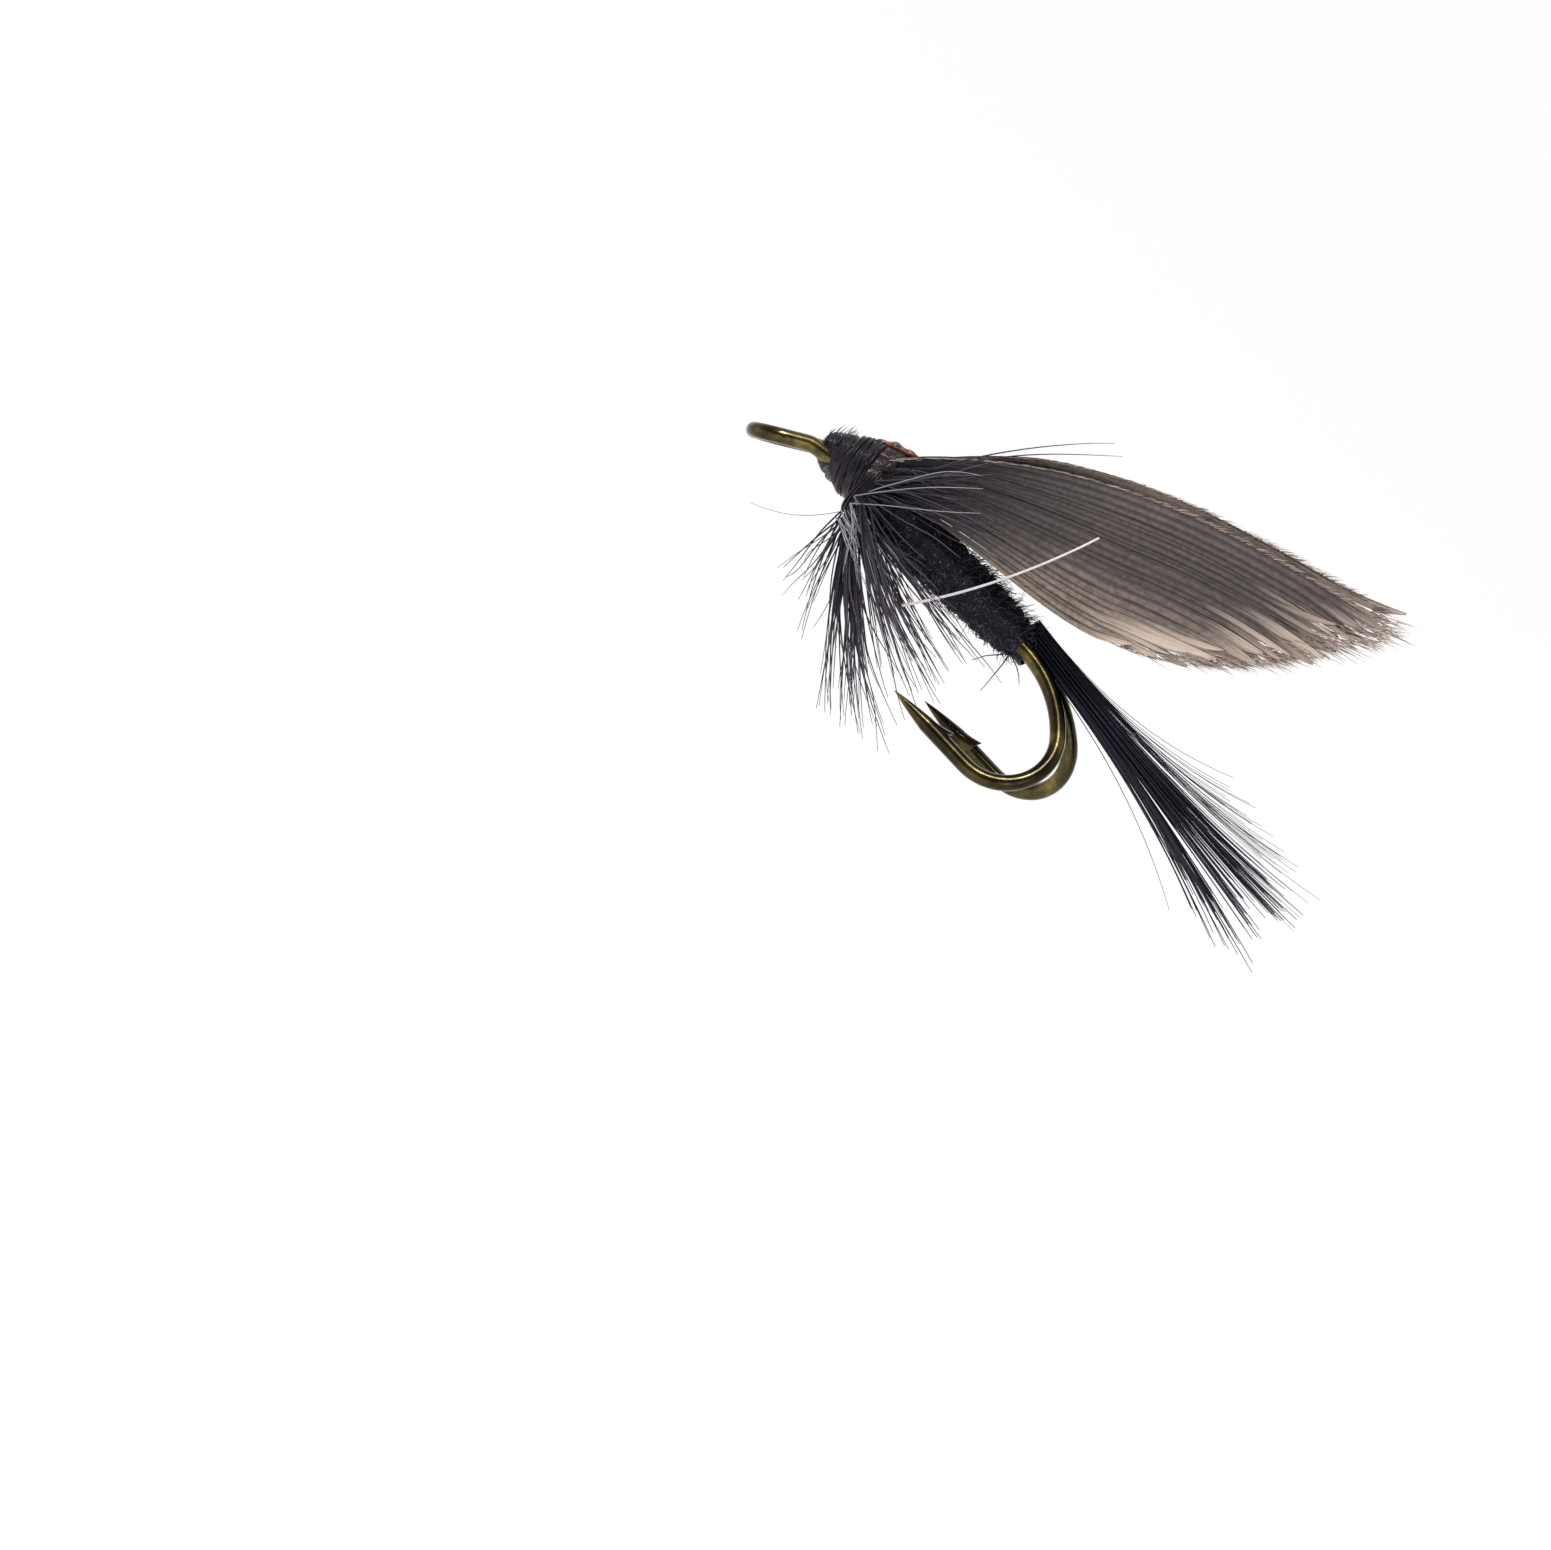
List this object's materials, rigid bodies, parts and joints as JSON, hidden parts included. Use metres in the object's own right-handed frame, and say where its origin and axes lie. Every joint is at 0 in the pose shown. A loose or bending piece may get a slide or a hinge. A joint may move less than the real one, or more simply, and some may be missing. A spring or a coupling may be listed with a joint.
{
  "type": "wet fly on a double hook",
  "caption": "Black winged wet fly on a bronze double hook: tented grey-brown quill wing, black throat hackle, wound body and straight fibre tail.",
  "frame": {"origin": "centre of the hook eye's hole, on the fly's middle plane", "axes": "+X aft along the shank, towards the bends and the tail; +Z to the wing side; +Y to the fly's right side"},
  "size_m": [0.0269, 0.0118, 0.0165],
  "materials": {
    "bronzed_wire": "polished",
    "braze": "satin",
    "thread": "satin",
    "hackle": "satin",
    "dubbing": "matte",
    "quill": "satin",
    "varnish": "gloss",
    "cement": "gloss"
  },
  "bodies": {
    "hook": {"hook_wire": "bronzed_wire", "braze_seam": "braze", "thread_underbody": "thread", "tail_butts": "hackle", "tail_binding_wraps": "thread", "body_dubbing": "dubbing", "hackle_butts": "hackle", "hackle_binding_wraps": "thread", "hackle_left": "hackle", "hackle_right": "hackle", "hackle_beard": "hackle", "wing_butt_left": "quill", "wing_butt_right": "quill", "wing_binding_wraps": "thread", "head_wraps": "thread", "whip_finish_wraps": "thread", "head_varnish": "varnish", "head_cement": "cement"},
    "wing_root": {"wing_base_left": "quill", "wing_base_right": "quill"},
    "wing_left": {"wing_slip_left": "quill"},
    "wing_right": {"wing_slip_right": "quill"},
    "tail": {"tail_fibres": "hackle"}
  },
  "joints": [
    {"name": "wing_lift", "type": "hinge", "parent": "hook", "child": "wing_root", "pos_m": [0.00359, 0, 0.0023], "axis": [0, -1, 0], "range_deg": [-8, 15], "stiffness_Nm_per_rad": 0.002},
    {"name": "wing_left_splay", "type": "hinge", "parent": "wing_root", "child": "wing_left", "pos_m": [0.00518, -0.00095, 0.00314], "axis": [0.4695, 0, -0.8829], "range_deg": [0, 20], "stiffness_Nm_per_rad": 0.002},
    {"name": "wing_right_splay", "type": "hinge", "parent": "wing_root", "child": "wing_right", "pos_m": [0.00518, 0.00095, 0.00314], "axis": [-0.4695, 0, 0.8829], "range_deg": [0, 20], "stiffness_Nm_per_rad": 0.002},
    {"name": "tail_flex", "type": "hinge", "parent": "hook", "child": "tail", "pos_m": [0.01175, 0, 0.00163], "axis": [0, -1, 0], "range_deg": [-10, 18], "stiffness_Nm_per_rad": 0.002}
  ]
}
